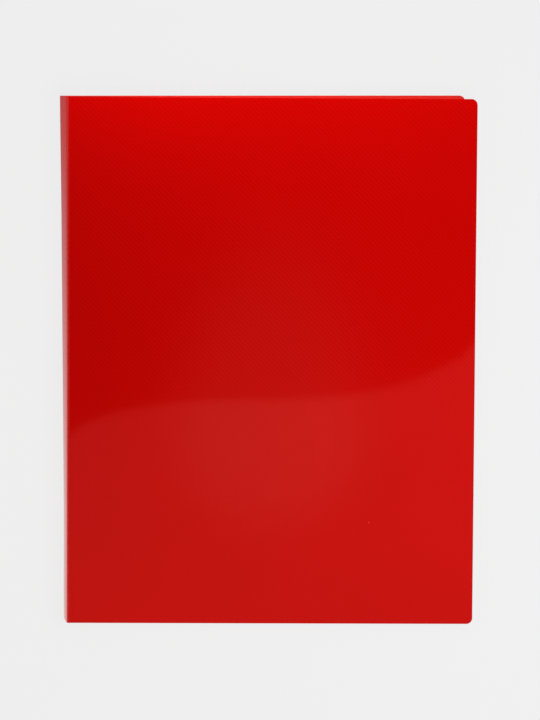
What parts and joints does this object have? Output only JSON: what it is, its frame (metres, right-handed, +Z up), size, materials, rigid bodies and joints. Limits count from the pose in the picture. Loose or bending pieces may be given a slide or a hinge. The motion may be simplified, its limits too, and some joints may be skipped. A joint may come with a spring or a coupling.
{
  "type": "spring clip folder",
  "caption": "Closed A4 document folder of glossy red plastic sheet with a creased spine, round free corners and a sprung clip inside the back cover that grips loose sheets.",
  "frame": {"origin": "under the middle of the closed folder, on the surface that it lies on", "axes": "+Z up out of the front cover, +Y to the top of the pages along the spine, +X from the spine to the free edges"},
  "size_m": [0.244, 0.311, 0.0182],
  "materials": {
    "cover_sheet": "glossy polypropylene sheet with a faint diagonal line grain",
    "crease_web": "the same sheet pressed thin along the fold",
    "pocket_film": "clear polypropylene film",
    "plated_steel": "nickel plated stamped steel",
    "rivet_steel": "nickel plated steel, formed heads",
    "spring_wire": "drawn spring wire"
  },
  "bodies": {
    "back": {"back_cover": "cover_sheet", "rear_crease": "crease_web", "clip_base": "plated_steel", "clip_rivets": "rivet_steel", "pivot_pin": "rivet_steel", "upper_spring": "spring_wire", "lower_spring": "spring_wire"},
    "spine": {"spine": "cover_sheet", "front_crease": "crease_web"},
    "front": {"front_cover": "cover_sheet", "inner_pocket": "pocket_film"},
    "jaw": {"clip_jaw": "plated_steel"}
  },
  "joints": [
    {"name": "spine_fold", "type": "hinge", "parent": "back", "child": "spine", "pos_m": [-0.12079, 0, 0.0012], "axis": [0, -1, 0], "range_deg": [0, 100], "deforming": ["rear_crease"]},
    {"name": "front_fold", "type": "hinge", "parent": "spine", "child": "front", "pos_m": [-0.11801, 0, 0.01696], "axis": [0, -1, 0], "range_deg": [0, 80.7], "deforming": ["front_crease"]},
    {"name": "jaw_pivot", "type": "hinge", "parent": "back", "child": "jaw", "pos_m": [-0.10179, 0, 0.0059], "axis": [0, -1, 0], "range_deg": [0, 34], "stiffness_Nm_per_rad": 0.24, "springref_deg": -28.65, "deforming": ["upper_spring", "lower_spring"]}
  ]
}
